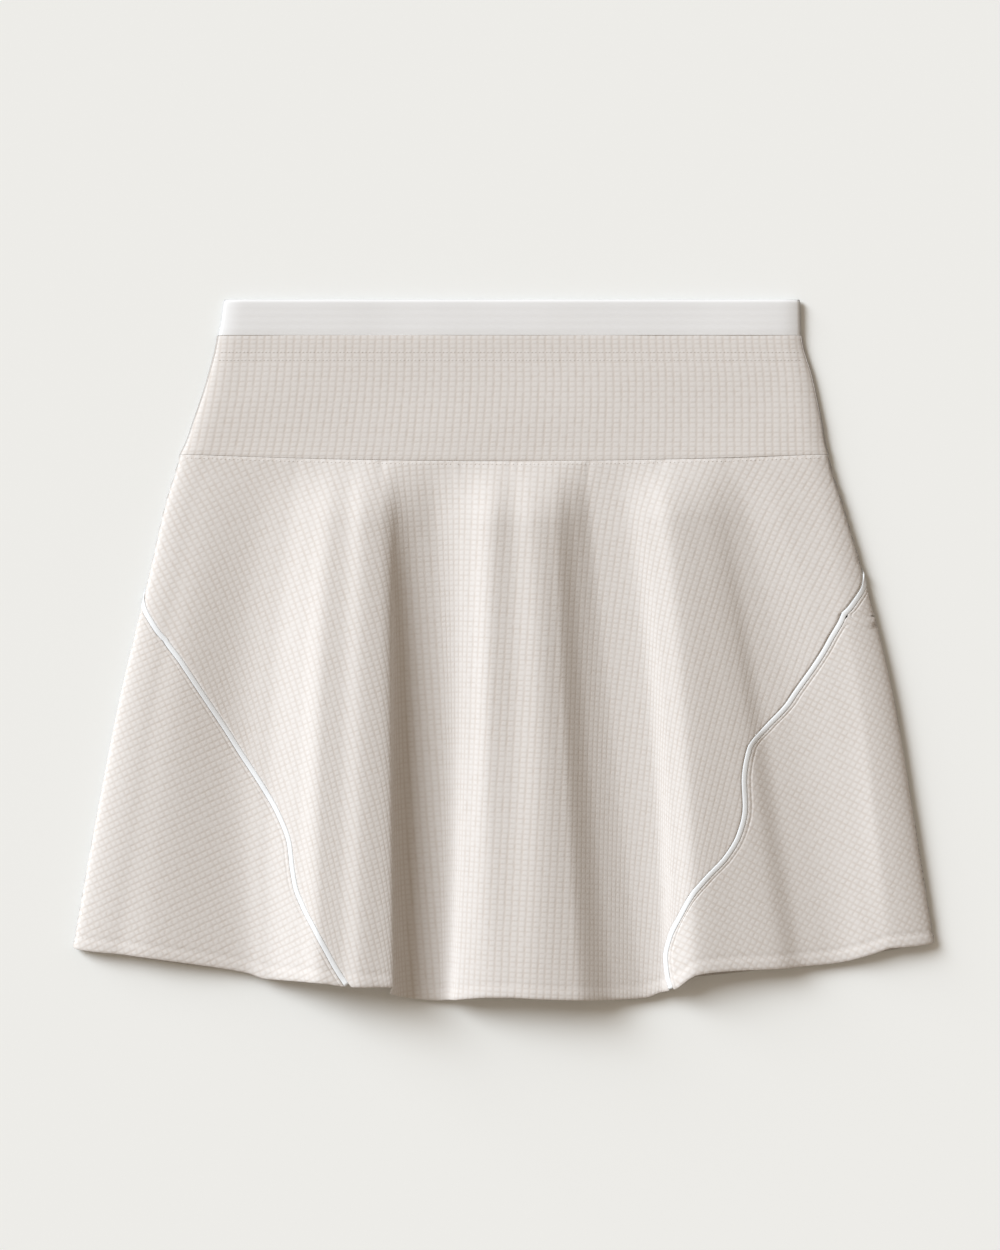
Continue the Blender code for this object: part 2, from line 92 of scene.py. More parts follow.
# fold line: around at the seam, x half way and at the hem, the hem's y, z near the seam,
# half way and at the hem, and the tilt of the knit's wales there
foldLines = [
    ("left flat", 36.0, -177.7, -191.2, -166.6, 6.6, 9.0, 9.4, -25),
    ("left hollow", 30.0, -143.5, -139.5, -174.7, 5.8, 6.0, 5.8, -22),
    ("ridge 1 foot", 26.5, -127.4, -127.5, -178.0, 7.0, 8.0, 7.8, -20),
    ("ridge 1 flank", 23.6, -110.0, -109.5, -178.4, 10.4, 14.4, 15.8, -19),
    ("ridge 1 shoulder", 21.1, -97.0, -96.5, -178.8, 13.2, 19.6, 21.4, -18),
    ("ridge 1 dip", 19.5, -87.0, -87.0, -180.2, 13.4, 19.7, 21.5, -17),
    ("ridge 1 top", 17.8, -76.6, -77.0, -180.7, 15.0, 21.2, 23.0, -16.5),
    ("ridge 1 lip", 15.5, -66.3, -66.5, -180.7, 14.0, 20.4, 22.0, -16),
    ("ridge 1 edge", 14.4, -60.2, -58.8, -181.2, 12.4, 18.4, 20.2, -14),
    ("ridge 1 under", 13.0, -59.4, -60.0, -185.0, 10.0, 12.4, 13.6, -8),
    ("recess left", 11.0, -51.5, -51.0, -188.3, 7.6, 7.2, 6.6, -4),
    ("recess right", 8.8, -34.0, -35.0, -189.9, 5.9, 5.6, 4.8, -4),
    ("ridge 2 foot", 7.0, -27.0, -30.6, -189.4, 6.8, 6.4, 6.0, -1),
    ("ridge 2 edge", 5.0, -19.0, -26.0, -188.8, 9.0, 9.8, 11.2, 2),
    ("ridge 2 top", 1.0, -6.1, -6.6, -186.9, 13.2, 14.4, 16.8, 3),
    ("centre dip", -1.2, 4.9, 4.5, -186.9, 12.4, 14.3, 17.7, 3),
    ("centre rise", -3.0, 18.6, 15.4, -187.5, 13.4, 15.8, 18.2, 3),
    ("centre shoulder", -6.0, 31.5, 39.0, -188.5, 12.2, 14.2, 16.4, 3),
    ("groove 2 flank", -8.6, 46.2, 60.6, -189.1, 8.2, 7.8, 7.8, 5),
    ("groove 2 floor", -10.5, 60.0, 76.0, -188.5, 5.6, 5.4, 4.9, 7.5),
    ("ridge 3 foot", -14.0, 78.0, 84.6, -185.6, 6.2, 6.4, 5.8, 9),
    ("ridge 3 flank", -17.4, 89.0, 92.8, -182.9, 9.6, 10.8, 10.4, 15),
    ("ridge 3 top", -20.0, 99.1, 104.5, -175.0, 12.2, 13.6, 14.6, 17),
    ("ridge 3 shoulder", -24.0, 119.2, 128.0, -172.8, 10.2, 11.6, 12.4, 19),
    ("ridge 3 brow", -25.6, 129.5, 148.5, -172.2, 8.8, 9.8, 10.2, 20),
    ("groove 3 flank", -27.4, 141.0, 163.0, -171.2, 6.8, 6.4, 6.2, 22),
    ("groove 3 floor", -29.0, 156.5, 178.6, -169.9, 5.6, 5.4, 4.8, 23),
    ("right rise", -33.0, 179.0, 195.0, -166.1, 6.4, 6.8, 6.4, 25),
]

# The seam between the front and back panels: level, around on the left, around on the right
panelSeam = [
    (2.00, 56.0, -56.0),
    (2.12, 49.0, -49.0),
    (2.20, 44.8, -43.4),
    (2.25, 42.5, -41.0),
    (2.29, 41.0, -39.2),
    (2.33, 39.3, -37.7),
    (2.37, 38.0, -34.5),
    (2.41, 36.0, -32.0),
    (2.46, 33.9, -29.7),
    (2.53, 31.2, -27.4),
    (2.57, 29.7, -25.7),
    (2.635, 26.6, -25.0),
    (2.68, 25.3, -24.9),
    (2.74, 24.3, -24.3),
    (2.78, 24.1, -23.2),
    (2.82, 23.8, -21.0),
    (2.86, 23.0, -18.5),
    (2.90, 21.8, -16.3),
    (2.935, 20.8, -15.3),
    (2.965, 20.0, -15.6),
    (3.00, 18.9, -16.6),
]


def flow(stations, values, at):
    # a smooth curve through the values that never swings past them
    x = np.asarray(stations, float)
    y = np.asarray(values, float)
    at = np.asarray(at, float)
    if x[0] > x[-1]:
        x = x[::-1]
        y = y[::-1]
    step = np.diff(x)
    rise = np.diff(y) / step
    slope = np.zeros_like(y)
    slope[0] = rise[0]
    slope[-1] = rise[-1]
    before = 2 * step[1:] + step[:-1]
    after = step[1:] + 2 * step[:-1]
    steady = rise[:-1] * rise[1:] > 0
    earlier = np.where(steady, rise[:-1], 1.0)
    later = np.where(steady, rise[1:], 1.0)
    slope[1:-1] = np.where(steady, (before + after) / (before / earlier + after / later), 0.0)
    at = np.clip(at, x[0], x[-1])
    i = np.clip(np.searchsorted(x, at, side="right") - 1, 0, len(x) - 2)
    t = (at - x[i]) / step[i]
    start = (1 + 2 * t) * (1 - t) ** 2 * y[i] + t * (1 - t) ** 2 * step[i] * slope[i]
    end = t * t * (3 - 2 * t) * y[i + 1] - t * t * (1 - t) * step[i] * slope[i + 1]
    return start + end


def wrapped(around):
    # angles past the centre back, counted on from the other side
    around = np.asarray(around, float)
    return np.where(around > centreBack, around - 2 * centreBack, around)


def mix(first, last, share):
    return first + (last - first) * share


def smooth(low, high, at):
    share = np.clip((at - low) / (high - low), 0, 1)
    return share * share * (3 - 2 * share)


def bell(at, middle, width):
    return np.exp(-((at - middle) / width) ** 2)


sectionLevels = [row[0] for row in sections]


def tubeSection(level):
    names = ("left", "right", "top", "edge", "shoulder", "heel")
    return {name: float(flow(sectionLevels, [row[i + 1] for row in sections], level))
            for i, name in enumerate(names)}


seamSection = tubeSection(2.0)


def seamHeight(around):
    angle = np.minimum(np.abs(around), centreBack - np.abs(around))
    return tube["seamY"] + tube["seamLift"] * (angle / tube["side"]) ** 2


def hemHeight(around):
    side = tube["side"]
    angles = [side] + [line[1] for line in foldLines] + [-side]
    heights = [tube["leftHemY"]] + [line[4] for line in foldLines] + [tube["rightHemY"]]
    front = flow(angles, heights, around)
    corner = np.where(around > 0, tube["leftHemY"], tube["rightHemY"])
    back = mix(tube["backHemY"], corner, ((centreBack - np.abs(around)) / side) ** 2)
    return np.where(np.abs(around) > side, back, front)


def pageHeight(level, around):
    if level <= 1:
        return np.full_like(around, mix(tube["waistY"], tube["bandFootY"], level))
    if level <= 2:
        return mix(tube["bandFootY"], seamHeight(around), level - 1)
    return mix(seamHeight(around), hemHeight(around), level - 2)


def bezier(points, t):
    weights = ((1 - t) ** 3, 3 * t * (1 - t) ** 2, 3 * t * t * (1 - t), t ** 3)
    return [sum(w * p[i] for w, p in zip(weights, points)) for i in range(2)]


def frontLines(level, size):
    # where the fold lines cross one level of the skirt
    left = seamSection["left"] + seamSection["shoulder"]
    right = seamSection["right"] - seamSection["shoulder"]
    shoulder = tube["shoulder"]
    share = level - 2
    angles = [shoulder]
    xs = [size["left"] + size["shoulder"]]
    zs = [size["top"]]
    for _, around, xMid, xHem, _, zTop, zMid, zHem, _ in foldLines:
        xSeam = mix(left, right, (shoulder - around) / (2 * shoulder))
        xs.append(xSeam * (2 * share - 1) * (share - 1) + xMid * 4 * share * (1 - share)
                  + xHem * share * (2 * share - 1))
        heights = (seamSection["top"], zTop, zMid, zHem)
        zs.append(float(flow((2.0, tube["foldTop"], tube["foldMid"], 3.0), heights, level)))
        angles.append(around)
    return angles + [-shoulder], xs + [size["right"] - size["shoulder"]], zs + [size["top"]]


def ring(level, around):
    # points of the outer face at one level, as an array of x, y, z
    around = wrapped(around)
    size = tubeSection(level)
    side, shoulder, heel = tube["side"], tube["shoulder"], tube["heel"]
    angle = np.abs(around)
    edge = np.where(around >= 0, size["left"], size["right"])
    inward = np.where(around >= 0, 1.0, -1.0)
    if level > 2:
        angles, xs, zs = frontLines(level, size)
        frontX = flow(angles, xs, around)
        frontZ = flow(angles, zs, around)
    else:
        share = (shoulder - around) / (2 * shoulder)
        frontX = mix(size["left"] + size["shoulder"], size["right"] - size["shoulder"], share)
        frontZ = np.full_like(around, size["top"])
    rise = size["top"] - size["edge"]
    upper = ((0, size["edge"]), (0, size["edge"] + roll["upperRise"] * rise),
             (roll["upperReach"] * size["shoulder"], size["top"]),
             (size["shoulder"], size["top"]))
    lower = ((0, size["edge"]), (0, roll["lowerRise"] * size["edge"]),
             (roll["lowerReach"] * size["heel"], 0), (size["heel"], 0))
    upperX, upperZ = bezier(upper, np.clip((side - angle) / (side - shoulder), 0, 1))
    lowerX, lowerZ = bezier(lower, np.clip((angle - side) / (heel - side), 0, 1))
    centre = (size["left"] + size["right"]) / 2
    backX = mix(edge + inward * size["heel"], centre, (angle - heel) / (centreBack - heel))
    zones = [angle <= shoulder, angle <= side, angle <= heel]
    x = np.select(zones, [frontX, edge + inward * upperX, edge + inward * lowerX], backX)
    z = np.select(zones, [frontZ, upperZ, lowerZ], 0.0)
    return np.stack([x, pageHeight(level, around), z], axis=-1)


def outward(level, around, step=0.05):
    run = ring(level, np.asarray(around) + step) - ring(level, np.asarray(around) - step)
    facing = np.stack([run[..., 2], 0 * run[..., 0], -run[..., 0]], axis=-1)
    return facing / np.linalg.norm(facing, axis=-1, keepdims=True)


def seamAngle(level, side):
    column = 1 if side == "left" else 2
    return float(flow([row[0] for row in panelSeam], [row[column] for row in panelSeam], level))


def seamDirection(level, side, step=0.004):
    low = max(2.0, level - step)
    high = min(3.0, level + step)
    run = ring(high, [seamAngle(high, side)])[0] - ring(low, [seamAngle(low, side)])[0]
    return run / np.linalg.norm(run)


def besideSeam(level, side, turn, clear, firstShift=0.5, rounds=4):
    # the angle of a panel's edge, clear of the piping's middle, on the side that turn gives:
    # a first shift, made closer in a few rounds
    angle = seamAngle(level, side)
    along = seamDirection(level, side)
    middle = ring(level, [angle])[0]
    shift = firstShift * turn
    for _ in range(rounds):
        reach = ring(level, [angle + shift])[0] - middle
        shift *= clear / np.linalg.norm(np.cross(reach, along))
    return angle + shift


def rowLevels(first, last, length, step):
    # rows a step apart, with finer ones beside both seams
    fine = (0.0, 0.35, 0.8, 1.4, 2.2)
    gaps = {1.0: tube["bandGap"] / 2, 2.0: tube["seamGap"] / 2}
    start = gaps.get(first, 0.0)
    end = length - gaps.get(last, 0.0)
    count = int((end - start - 2 * fine[-1]) / step)
    plain = [mix(start + fine[-1], end - fine[-1], i / count) for i in range(1, count)]
    places = [start + f for f in fine] + plain + [end - f for f in fine[::-1]]
    return [mix(first, last, place / length) for place in places]


def evenStops(level, first, last, count, backShare=0.35, samples=500):
    # angles from first to last, evenly spaced on the cloth and sparser under the skort
    angles = np.linspace(first, last, samples)
    points = ring(level, angles)
    middle = (angles[1:] + angles[:-1]) / 2
    under = np.abs(wrapped(middle)) > tube["heel"]
    run = np.linalg.norm(np.diff(points, axis=0), axis=1) * np.where(under, backShare, 1.0)
    reached = np.concatenate([[0.0], np.cumsum(run)])
    return np.interp(np.linspace(0, reached[-1], count), reached, angles)


def clothSheet(name, levels, stopsAt, relief, grain, material):
    # a grid with a row for each level, laid on the tube; relief moves it off the tube's face
    # and grain gives the knit's wales and courses
    stops = [np.asarray(stopsAt(level)) for level in levels]
    across = len(stops[0]) - 1
    down = len(levels) - 1
    sheet = bmesh.new()
    bmesh.ops.create_grid(sheet, x_segments=across, y_segments=down, size=1.0)
    data = bpy.data.meshes.new(name)
    sheet.to_mesh(data)
    sheet.free()
    flat = np.empty(len(data.vertices) * 3)
    data.vertices.foreach_get("co", flat)
    flat = flat.reshape(-1, 3)
    column = np.rint((flat[:, 0] + 1) / 2 * across).astype(int)
    row = np.rint((1 - flat[:, 1]) / 2 * down).astype(int)
    points = np.zeros((down + 1, across + 1, 3))
    knit = np.zeros((down + 1, across + 1, 2))
    for i, level in enumerate(levels):
        place = ring(level, stops[i])
        knit[i] = grain(level, stops[i], place)
        lift = relief(level, stops[i], place)
        points[i] = place + outward(level, stops[i]) * lift[:, None]
    data.vertices.foreach_set("co", (points[row, column] * mm).ravel())
    corner = np.empty(len(data.loops), int)
    data.loops.foreach_get("vertex_index", corner)
    layer = data.uv_layers.new(name="knit")
    layer.data.foreach_set("uv", knit[row, column][corner].ravel())
    data.update()
    data.materials.append(material)
    data.shade_smooth()
    piece = bpy.data.objects.new(name, data)
    bpy.context.scene.collection.objects.link(piece)
    return piece


def thicken(piece, thickness):
    wall = piece.modifiers.new("wall", "SOLIDIFY")
    wall.thickness = thickness * mm
    wall.offset = -1.0
    wall.use_rim = True
    wall.use_quality_normals = True


def closeRing(piece, within=0.02):
    # joins the sheet's two ends at the centre back
    mesh = bmesh.new()
    mesh.from_mesh(piece.data)
    bmesh.ops.remove_doubles(mesh, verts=mesh.verts[:], dist=within * mm)
    mesh.to_mesh(piece.data)
    mesh.free()


# Materials

def shaderNodes(material):
    material.use_nodes = True
    nodes = material.node_tree.nodes
    links = material.node_tree.links
    return nodes, links, nodes["Principled BSDF"]


# The side folds and the band's top turn down to the floor; painted shade darkens their colour a
# little there.
paintedEdgeShade = {
    "low": 2.4,              # fully shaded below this height, millimetres
    "high": 4.8,             # not shaded above it
    "steep": 0.55,           # the face's slope at which the shade is full, as its normal's height
    "gentle": 0.90,
    "shade": 0.50,
}


def paintEdgeShade(nodes, links, colour):
    # painted shade: the colour, darker on steep faces near the floor
    def share(value, start, end):
        node = nodes.new("ShaderNodeMapRange")
        node.interpolation_type = "SMOOTHSTEP"
        node.inputs["From Min"].default_value = start
        node.inputs["From Max"].default_value = end
        node.inputs["To Min"].default_value = 1.0
        node.inputs["To Max"].default_value = 0.0
        links.new(value, node.inputs["Value"])
        return node.outputs["Result"]

    place = nodes.new("ShaderNodeTexCoord")
    height = nodes.new("ShaderNodeSeparateXYZ")
    links.new(place.outputs["Object"], height.inputs["Vector"])
    slope = nodes.new("ShaderNodeSeparateXYZ")
    links.new(place.outputs["Normal"], slope.inputs["Vector"])
    low = share(height.outputs["Z"], paintedEdgeShade["low"] * mm, paintedEdgeShade["high"] * mm)
    steep = share(slope.outputs["Z"], paintedEdgeShade["steep"], paintedEdgeShade["gentle"])
    both = maths(nodes, links, "MULTIPLY", low, steep)
    shaded = maths(nodes, links, "MULTIPLY", both, paintedEdgeShade["shade"])
    kept = maths(nodes, links, "SUBTRACT", 1.0, shaded)
    scaled = nodes.new("ShaderNodeVectorMath")
    scaled.operation = "SCALE"
    links.new(colour, scaled.inputs["Vector"])
    links.new(kept, scaled.inputs["Scale"])
    return scaled.outputs["Vector"]


def maths(nodes, links, operation, first, second=None):
    node = nodes.new("ShaderNodeMath")
    node.operation = operation
    for i, value in enumerate((first, second)):
        if value is None:
            continue
        if isinstance(value, (int, float)):
            node.inputs[i].default_value = value
        else:
            links.new(value, node.inputs[i])
    return node.outputs[0]


waffleLook = {
    "wale": 3.9,             # one cell across, millimetres
    "course": 2.75,          # one cell along
    "deep": 0.075,           # from the cell's rim to its floor
    "courseDepth": 0.72,     # of the lines along the courses
    "face": (0.735, 0.705, 0.68),
    # painted shade: the knit's valleys take this darker, warmer colour; random clouds of it add
    # tone
    "hollow": (0.55, 0.475, 0.41),
    "hollowShare": 0.42,
    "waleLine": 2.6,         # higher is narrower
    "courseLine": 2.2,
    "drift": 0.20,           # how far the rows wander, in cells
    "driftScale": 90.0,      # a noise's scale; higher is finer
    "fuzz": 0.30,
    "fuzzScale": 1500.0,
    # the lines come and go a little, as loops sit more or less open
    "patches": {"From Min": 0.3, "From Max": 0.7, "To Min": 0.55, "To Max": 1.15},
    "patchScale": 240.0,
    "tint": 0.14,            # broad clouds of the hollows' colour
    "tintScale": 14.0,
    "rough": 0.92,
    "sheen": 0.12,
    "shine": 0.25,
}


def waffleKnit():
    look = waffleLook
    material = bpy.data.materials.new("waffleKnit")
    nodes, links, shader = shaderNodes(material)
    knit = nodes.new("ShaderNodeUVMap")
    knit.uv_map = "knit"
    place = nodes.new("ShaderNodeTexCoord")

    def noise(scale, detail):
        node = nodes.new("ShaderNodeTexNoise")
        node.inputs["Scale"].default_value = scale
        node.inputs["Detail"].default_value = detail
        links.new(place.outputs["Object"], node.inputs["Vector"])
        return node

    shake = nodes.new("ShaderNodeVectorMath")
    shake.operation = "MULTIPLY_ADD"
    links.new(noise(look["driftScale"], 2.0).outputs["Color"], shake.inputs[0])
    shake.inputs[1].default_value = (look["drift"], look["drift"], 0.0)
    links.new(knit.outputs["UV"], shake.inputs[2])
    split = nodes.new("ShaderNodeSeparateXYZ")
    links.new(shake.outputs["Vector"], split.inputs["Vector"])

    def valley(value, narrow):
        turn = maths(nodes, links, "MULTIPLY", value, 2 * math.pi)
        wave = maths(nodes, links, "COSINE", turn)
        share = maths(nodes, links, "MULTIPLY_ADD", wave, 0.5)
        share.node.inputs[2].default_value = 0.5
        return maths(nodes, links, "POWER", share, narrow)

    waleValley = valley(split.outputs["X"], look["waleLine"])
    courseValley = valley(split.outputs["Y"], look["courseLine"])
    courseShare = maths(nodes, links, "MULTIPLY", courseValley, look["courseDepth"])
    both = maths(nodes, links, "ADD", waleValley, courseShare)
    crossing = maths(nodes, links, "MULTIPLY", waleValley, courseShare)
    valleys = maths(nodes, links, "SUBTRACT", both, crossing)
    patchy = nodes.new("ShaderNodeMapRange")
    for socket, value in look["patches"].items():
        patchy.inputs[socket].default_value = value
    links.new(noise(look["patchScale"], 2.0).outputs["Fac"], patchy.inputs["Value"])
    valleys = maths(nodes, links, "MULTIPLY", valleys, patchy.outputs["Result"])
    loops = noise(look["fuzzScale"], 3.0)
    fuzz = maths(nodes, links, "MULTIPLY", loops.outputs["Fac"], look["fuzz"])
    height = maths(nodes, links, "SUBTRACT", fuzz, valleys)
    bump = nodes.new("ShaderNodeBump")
    bump.inputs["Strength"].default_value = 1.0
    bump.inputs["Distance"].default_value = look["deep"] * mm
    links.new(height, bump.inputs["Height"])
    links.new(bump.outputs["Normal"], shader.inputs["Normal"])

    tint = nodes.new("ShaderNodeMapRange")
    tint.inputs["To Min"].default_value = 0.0
    tint.inputs["To Max"].default_value = look["tint"]
    links.new(noise(look["tintScale"], 3.0).outputs["Fac"], tint.inputs["Value"])
    # painted shade in the knit's valleys, plus random clouds of tone
    paintedValleyShade = maths(nodes, links, "MULTIPLY", valleys, look["hollowShare"])
    shadeAndToneShare = maths(nodes, links, "ADD", paintedValleyShade, tint.outputs["Result"])
    colour = nodes.new("ShaderNodeMix")
    colour.data_type = "RGBA"
    colour.clamp_factor = True
    links.new(shadeAndToneShare, colour.inputs["Factor"])
    colour.inputs["A"].default_value = (*look["face"], 1)
    colour.inputs["B"].default_value = (*look["hollow"], 1)
    # painted shade on steep faces near the floor
    links.new(paintEdgeShade(nodes, links, colour.outputs["Result"]), shader.inputs["Base Color"])
    shader.inputs["Roughness"].default_value = look["rough"]
    shader.inputs["Sheen Weight"].default_value = look["sheen"]
    shader.inputs["Specular IOR Level"].default_value = look["shine"]
    return material


clothLooks = {
    # colour, its cloudy tone, roughness, how fine the ribs are, their depth in millimetres
    "smoothElastic": ((0.83, 0.825, 0.82), (0.78, 0.775, 0.77), 0.7, 500, 0.05),
    "pipingSatin": ((0.84, 0.855, 0.865), (0.80, 0.815, 0.825), 0.6, 700, 0.04),
    "shortsJersey": ((0.78, 0.74, 0.69), (0.74, 0.70, 0.65), 0.85, 600, 0.06),
    "sewingThread": ((0.70, 0.665, 0.63), (0.65, 0.61, 0.57), 0.8, 900, 0.03),
}
smoothLook = {
    "cloudScale": 22.0,
    "ripple": 1.5,           # how far the ribs waver
    "yarnScale": 2200.0,
    "sheen": 0.15,
    "shine": 0.35,
}


def smoothCloth(name, base, shade, rough, ribsFine, deep):
    # smooth jersey or elastic: fine even ribs along the piece and a cloudy tone
    material = bpy.data.materials.new(name)
    nodes, links, shader = shaderNodes(material)
    place = nodes.new("ShaderNodeTexCoord")
    cloud = nodes.new("ShaderNodeTexNoise")
    cloud.inputs["Scale"].default_value = smoothLook["cloudScale"]
    cloud.inputs["Detail"].default_value = 3.0
    links.new(place.outputs["Object"], cloud.inputs["Vector"])
    colour = nodes.new("ShaderNodeMix")
    colour.data_type = "RGBA"
    links.new(cloud.outputs["Fac"], colour.inputs["Factor"])
    colour.inputs["A"].default_value = (*base, 1)
    colour.inputs["B"].default_value = (*shade, 1)
    # painted shade on steep faces near the floor
    links.new(paintEdgeShade(nodes, links, colour.outputs["Result"]), shader.inputs["Base Color"])
    ribs = nodes.new("ShaderNodeTexWave")
    ribs.bands_direction = "Y"
    ribs.inputs["Scale"].default_value = ribsFine
    ribs.inputs["Distortion"].default_value = smoothLook["ripple"]
    ribs.inputs["Detail"].default_value = 1.0
    links.new(place.outputs["Object"], ribs.inputs["Vector"])
    yarn = nodes.new("ShaderNodeTexNoise")
    yarn.inputs["Scale"].default_value = smoothLook["yarnScale"]
    links.new(place.outputs["Object"], yarn.inputs["Vector"])
    height = maths(nodes, links, "ADD", ribs.outputs["Fac"], yarn.outputs["Fac"])
    bump = nodes.new("ShaderNodeBump")
    bump.inputs["Strength"].default_value = 1.0
    bump.inputs["Distance"].default_value = deep * mm
    links.new(height, bump.inputs["Height"])
    links.new(bump.outputs["Normal"], shader.inputs["Normal"])
    shader.inputs["Roughness"].default_value = rough
    shader.inputs["Sheen Weight"].default_value = smoothLook["sheen"]
    shader.inputs["Specular IOR Level"].default_value = smoothLook["shine"]
    return material


waffle = waffleKnit()
smoothCloths = [smoothCloth(name, *look) for name, look in clothLooks.items()]
elastic, cordCloth, jersey, thread = smoothCloths
print("materials made")


# Knit direction

def frontTilt(around):
    angles = [tube["shoulder"]] + [line[1] for line in foldLines] + [-tube["shoulder"]]
    tilts = [foldLines[0][8]] + [line[8] for line in foldLines] + [foldLines[-1][8]]
    return np.radians(flow(angles, tilts, around))


def skirtGrain(tiltAt, anchor):
    # wales and courses on the page turn with the cut; anchor is the angle they start from
    def grain(level, around, place):
        tilt = tiltAt(around)
        run = np.hypot(np.diff(place[:, 0]), np.diff(place[:, 2]))
        middle = (tilt[1:] + tilt[:-1]) / 2
        wale = np.concatenate([[0.0], np.cumsum(run * np.cos(middle))])
        course = np.concatenate([[0.0], np.cumsum(-run * np.sin(middle))])
        start = np.interp(-anchor, -np.asarray(around), wale)
        startCourse = np.interp(-anchor, -np.asarray(around), course)
        drop = tube["seamY"] - place[:, 1]
        wale = wale - start + drop * np.sin(tilt)
        course = course - startCourse + drop * np.cos(tilt)
        return np.stack([wale / waffleLook["wale"], course / waffleLook["course"]], axis=-1)
    return grain


yokeKnit = {
    "wale": 4.0,
    "course": 2.8,
    "hipStretch": 0.4,       # share of the hips' widening that opens the wales
    "courseShare": 0.96,     # how closely the courses lie at the middle height
    "courseBend": 0.0034,    # and how much closer away from it
    "middleY": 135.0,
}


def yokeGrain(level, around, place):
    # straight grain, a little stretched over the hips
    wide = tubeSection(level)
    narrow = tubeSection(1.0)
    stretch = (wide["right"] - wide["left"]) / (narrow["right"] - narrow["left"])
    run = np.hypot(np.diff(place[:, 0]), np.diff(place[:, 2]))
    wale = np.concatenate([[0.0], np.cumsum(run)])
    front = wrapped(around)
    middle = np.interp(0.0, -front, wale) if front.min() < 0 < front.max() else wale.mean()
    y = place[:, 1]
    fromMiddle = y - yokeKnit["middleY"]
    course = (yokeKnit["courseShare"] * y
              + yokeKnit["courseBend"] * fromMiddle ** 2 * np.sign(fromMiddle))
    wale = (wale - middle) / (1 + yokeKnit["hipStretch"] * (stretch - 1))
    return np.stack([wale / yokeKnit["wale"], course / yokeKnit["course"]], axis=-1)


# Small forms on the tube's face

# how deep and how wide the cloth dips into each seam
dips = {
    "band": (0.14, 1.6),
    "skirt": (0.20, 1.1),
    "edge": (0.10, 0.8),
    "ditch": 0.28,
    "ditchAt": 2.1,          # how far into the back panel it runs beside the piping
    "ditchWide": 0.45,
}


def seamDip(distance, deep, width):
    return -deep * np.exp(-(distance / width) ** 2)


gathers = {
    # short creases where fullness was eased into the skirt seam: x, length, width, depth
    "front": [
        (-26.6, 11.0, 0.8, -0.45), (-25.2, 12.0, 1.0, 0.3), (-22.8, 8.0, 0.8, -0.4),
        (3.2, 6.0, 0.8, -0.4), (7.4, 5.0, 0.8, -0.3), (45.5, 9.0, 1.0, -0.35),
        (-66.0, 14.0, 2.4, -0.4), (85.0, 12.0, 2.4, -0.4), (-112.0, 10.0, 2.0, -0.3),
        (122.0, 9.0, 2.0, -0.3),
    ],
    "back": [
        (-84.0, 14.0, 2.2, -0.3), (-30.0, 18.0, 2.0, -0.4), (22.0, 12.0, 2.0, -0.3),
        (71.0, 16.0, 2.4, -0.4),
    ],
}

gatherStart = 1.2            # the creases begin this far below the skirt seam

hemLook = {
    "turn": 6.5,             # height of the turned hem
    "ridge": 0.18,
    "ridgeWide": 1.5,
    "groove": 0.3,
    "grooveWide": 0.8,
    "round": 0.45,
    "roundWide": 0.7,
}


def skirtRelief(level, around, place):
    angle = np.abs(wrapped(around))
    length = np.abs(seamHeight(angle) - hemHeight(np.asarray(around)))
    fromSeam = (level - 2) * length
    fromHem = (3 - level) * length
    lift = seamDip(fromSeam, *dips["skirt"])
    turn = hemLook["turn"]
    lift = lift - hemLook["round"] * np.exp(-(fromHem / hemLook["roundWide"]) ** 2)
    lift = lift - hemLook["groove"] * bell(fromHem, turn, hemLook["grooveWide"])
    lift = lift + hemLook["ridge"] * smooth(turn, turn - hemLook["ridgeWide"], fromHem)
    faces = {"front": angle < tube["shoulder"], "back": angle > tube["heel"]}
    for face, here in faces.items():
        for x, long, width, deep in gathers[face]:
            fade = np.exp(-(fromSeam / long) ** 2) * smooth(0.0, gatherStart, fromSeam)
            lift = lift + np.where(here, deep * bell(place[:, 0], x, width) * fade, 0.0)
    return lift


# the yoke's faint slanting drags, and the two lines of stitches below the band
yokeLook = {
    "flatFrom": 6.0,         # the drags fade over this turn before the shoulder
    "drag": {"deep": 0.07, "slant": 0.35, "long": 7.0, "wander": 0.8, "wanderLong": 31.0},
    "crossDrag": {"deep": 0.10, "slant": -0.28, "long": 9.5, "start": 1.3},
    "stitchRows": {"bandStitchUpper": 161.2, "bandStitchLower": 156.9},
    "rowDeep": 0.07,
    "rowWide": 0.8,
}


def yokeRelief(level, around, place):
    length = tube["bandFootY"] - tube["seamY"]
    lift = seamDip((level - 1) * length, *dips["band"])
    lift = lift + seamDip((2 - level) * length, *dips["skirt"])
    y = place[:, 1]
    x = place[:, 0]
    angle = np.abs(wrapped(around))
    flatPart = smooth(tube["shoulder"], tube["shoulder"] - yokeLook["flatFrom"], angle)
    one, two = yokeLook["drag"], yokeLook["crossDrag"]
    wander = one["wander"] * np.sin(x / one["wanderLong"])
    drag = one["deep"] * np.sin((y + one["slant"] * x) / one["long"] + wander)
    drag = drag + two["deep"] * np.sin((y + two["slant"] * x) / two["long"] + two["start"])
    pressed = sum(bell(y, row, yokeLook["rowWide"]) for row in yokeLook["stitchRows"].values())
    return lift + drag * flatPart - yokeLook["rowDeep"] * pressed


bandLook = {
    "topDeep": 0.7,          # the top edge rounds over
    "topWide": 0.8,
    "wave": 0.08,
    "waveLong": 23.0,
    "waveTurn": 2.0,         # how far the wave shifts from the top to the foot
    "ripple": 0.06,
    "rippleLong": 9.0,
    "rippleStart": -1.0,
}


